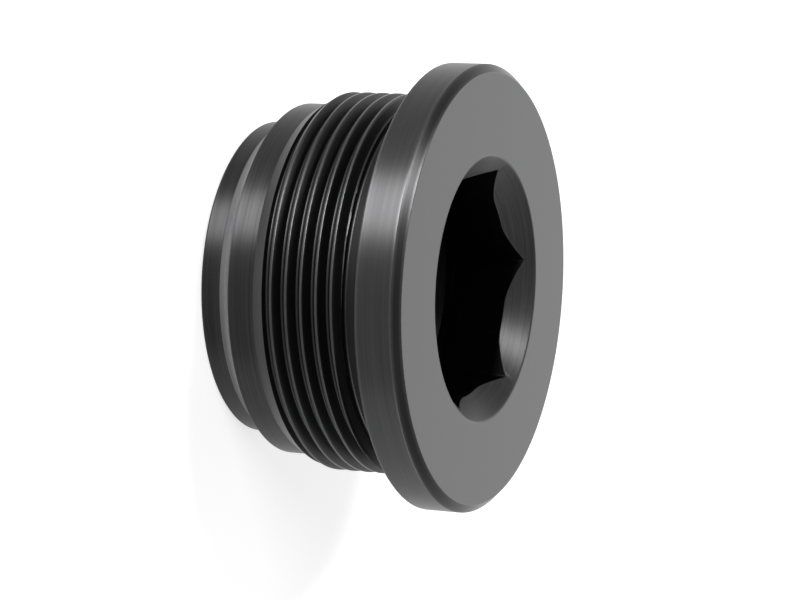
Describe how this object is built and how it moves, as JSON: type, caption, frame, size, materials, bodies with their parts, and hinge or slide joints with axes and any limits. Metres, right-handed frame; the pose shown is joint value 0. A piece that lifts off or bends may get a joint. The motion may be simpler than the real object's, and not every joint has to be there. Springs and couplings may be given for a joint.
{
  "type": "axle housing plug",
  "caption": "Threaded steel plug with a round collar, relief groove, plain pilot tip and blind hexagon socket, for closing a housing opening.",
  "frame": {"origin": "centre of the tip's end face, where the plug stands", "axes": "+Z along the turning axis, from the tip up to the collar; X and Y across it"},
  "size_m": [0.056, 0.056, 0.03],
  "materials": {
    "blackened_steel": "black oxide over turned steel, satin"
  },
  "bodies": {
    "root": {"housing_plug": "blackened_steel"}
  },
  "joints": []
}
